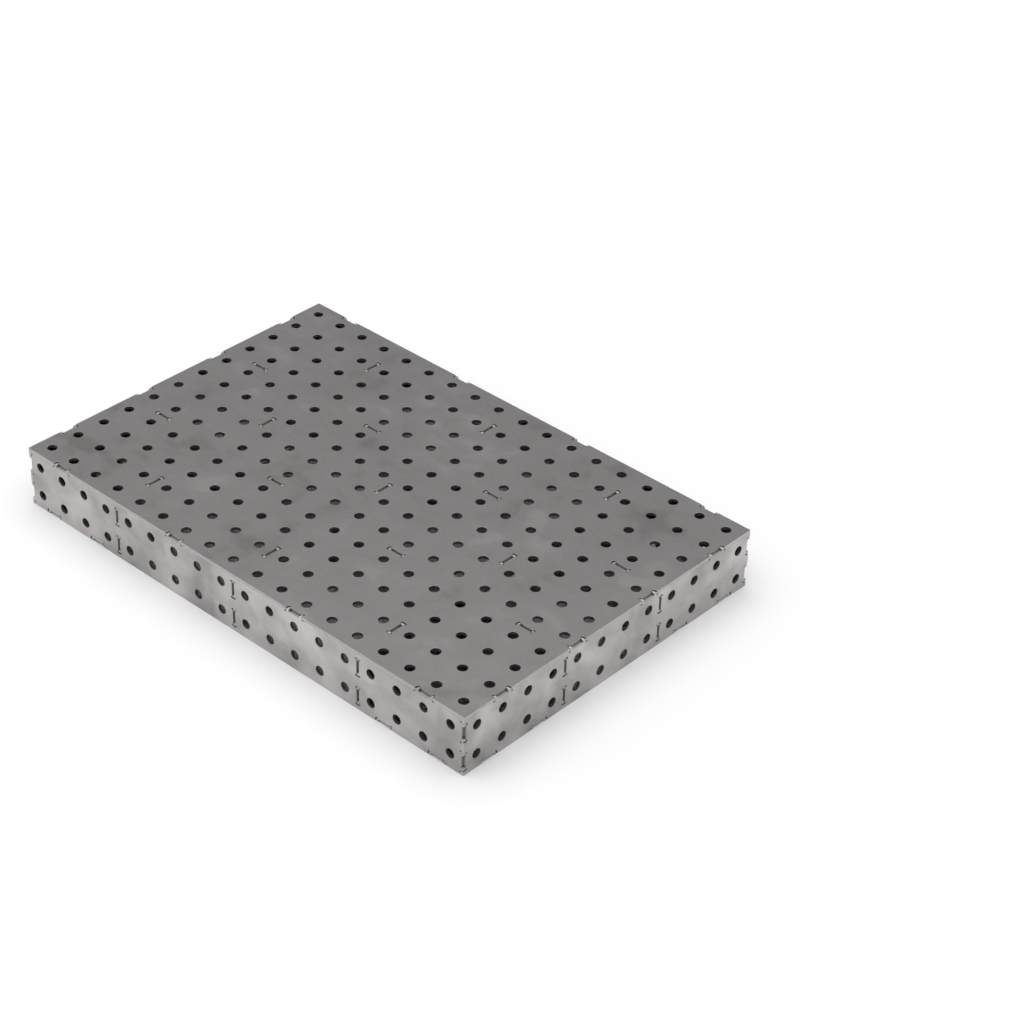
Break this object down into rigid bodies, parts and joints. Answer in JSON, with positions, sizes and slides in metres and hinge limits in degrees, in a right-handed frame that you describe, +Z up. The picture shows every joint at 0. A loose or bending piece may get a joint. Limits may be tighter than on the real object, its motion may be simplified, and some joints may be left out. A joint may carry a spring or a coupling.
{
  "type": "welding table top",
  "caption": "Legless modular welding table: a flat steel fixture block of tab-and-slot plates with a grid of round clamping holes in its top and sides.",
  "frame": {"origin": "centre of the block's underside", "axes": "+X along the 36 in length, +Y across the 24 in width to the back, +Z up to the work surface"},
  "size_m": [0.9144, 0.6096, 0.1016],
  "materials": {
    "top_steel": "bare hot-rolled plate, matt mill finish, cloudy",
    "rail_steel": "bare hot-rolled plate, matt mill finish, faint streaks",
    "rib_steel": "bare hot-rolled plate, matt",
    "corner_steel": "bare hot-rolled plate, matt",
    "weld_bead": "rippled weld metal with a heat tint"
  },
  "bodies": {
    "root": {"top_plate": "top_steel", "front_rail": "rail_steel", "back_rail": "rail_steel", "left_rail": "rail_steel", "right_rail": "rail_steel", "cross_rib_left": "rib_steel", "cross_rib_middle": "rib_steel", "cross_rib_right": "rib_steel", "long_rib_front": "rib_steel", "long_rib_back": "rib_steel", "corner_plate_front_left": "corner_steel", "corner_plate_front_right": "corner_steel", "corner_plate_back_left": "corner_steel", "corner_plate_back_right": "corner_steel", "welds_top_to_rails": "weld_bead", "welds_top_to_ribs": "weld_bead", "welds_rail_corners": "weld_bead", "welds_rib_ends": "weld_bead", "welds_rib_crossings": "weld_bead", "welds_corner_plates": "weld_bead"}
  },
  "joints": []
}
